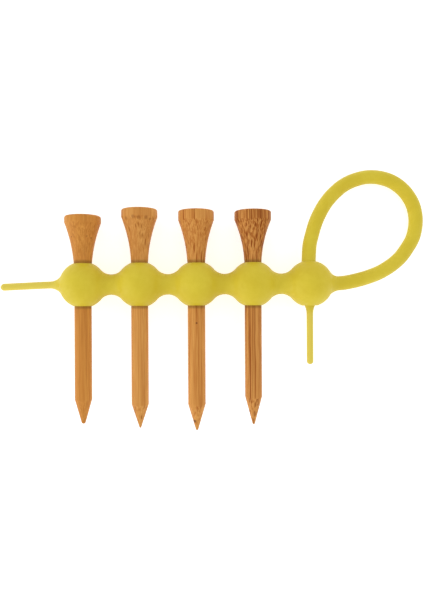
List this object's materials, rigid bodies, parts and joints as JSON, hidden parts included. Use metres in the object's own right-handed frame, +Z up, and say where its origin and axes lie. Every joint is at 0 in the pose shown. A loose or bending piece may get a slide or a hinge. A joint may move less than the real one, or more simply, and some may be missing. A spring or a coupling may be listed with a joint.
{
  "type": "golf tee strap",
  "caption": "Soft moulded string of bored beads with a hanging loop and thin pull tails, holding turned bamboo golf tees side by side.",
  "frame": {"origin": "on the surface the strap lies on, under the middle of the box around the beads, tails and tees, the loop left out", "axes": "+X along the string of beads towards the loop, +Y along the tees towards their heads, +Z up from the surface"},
  "size_m": [0.1398, 0.0859, 0.0152],
  "materials": {
    "silicone": "matte moulded silicone, yellow-olive",
    "bamboo": "bare caramelised bamboo, fine fibre streaks"
  },
  "bodies": {
    "bead_5": {"bead_5": "silicone", "neck_45": "silicone", "loop_cord": "silicone"},
    "bead_4": {"bead_4": "silicone", "neck_34": "silicone"},
    "bead_3": {"bead_3": "silicone", "neck_23": "silicone"},
    "bead_2": {"bead_2": "silicone", "neck_12": "silicone"},
    "bead_1": {"bead_1": "silicone", "thread_tail_root": "silicone"},
    "thread_tail": {"thread_tail": "silicone"},
    "pull_tail": {"pull_tail": "silicone"},
    "tee_1": {"tee_1": "bamboo"},
    "tee_2": {"tee_2": "bamboo"},
    "tee_3": {"tee_3": "bamboo"},
    "tee_4": {"tee_4": "bamboo"}
  },
  "joints": [
    {"name": "neck_45_bend", "type": "hinge", "parent": "bead_5", "child": "bead_4", "pos_m": [0.0364, 0.0116, 0.0076], "axis": [0, 1, 0], "range_deg": [-45, 45], "stiffness_Nm_per_rad": 0.02, "deforming": ["neck_45"]},
    {"name": "neck_34_bend", "type": "hinge", "parent": "bead_4", "child": "bead_3", "pos_m": [0.01785, 0.0116, 0.0076], "axis": [0, 1, 0], "range_deg": [-45, 45], "stiffness_Nm_per_rad": 0.02, "deforming": ["neck_34"]},
    {"name": "neck_23_bend", "type": "hinge", "parent": "bead_3", "child": "bead_2", "pos_m": [-0.0007, 0.0116, 0.0076], "axis": [0, 1, 0], "range_deg": [-45, 45], "stiffness_Nm_per_rad": 0.02, "deforming": ["neck_23"]},
    {"name": "neck_12_bend", "type": "hinge", "parent": "bead_2", "child": "bead_1", "pos_m": [-0.01925, 0.0116, 0.0076], "axis": [0, 1, 0], "range_deg": [-45, 45], "stiffness_Nm_per_rad": 0.02, "deforming": ["neck_12"]},
    {"name": "thread_tail_flex", "type": "hinge", "parent": "bead_1", "child": "thread_tail", "pos_m": [-0.03928, 0.0116, 0.0076], "axis": [0, 1, 0], "range_deg": [-60, 60], "stiffness_Nm_per_rad": 0.0003, "deforming": ["thread_tail_root"]},
    {"name": "loop_pull", "type": "slide", "parent": "bead_5", "child": "pull_tail", "axis": [0, -1, 0], "range_m": [0, 0.012], "deforming": ["loop_cord"]},
    {"name": "tee_1_draw", "type": "slide", "parent": "bead_1", "child": "tee_1", "axis": [0, 1, 0], "range_m": [0, 0.055]},
    {"name": "tee_2_draw", "type": "slide", "parent": "bead_2", "child": "tee_2", "axis": [0, 1, 0], "range_m": [0, 0.055]},
    {"name": "tee_3_draw", "type": "slide", "parent": "bead_3", "child": "tee_3", "axis": [0, 1, 0], "range_m": [0, 0.055]},
    {"name": "tee_4_draw", "type": "slide", "parent": "bead_4", "child": "tee_4", "axis": [0, 1, 0], "range_m": [0, 0.055]}
  ]
}
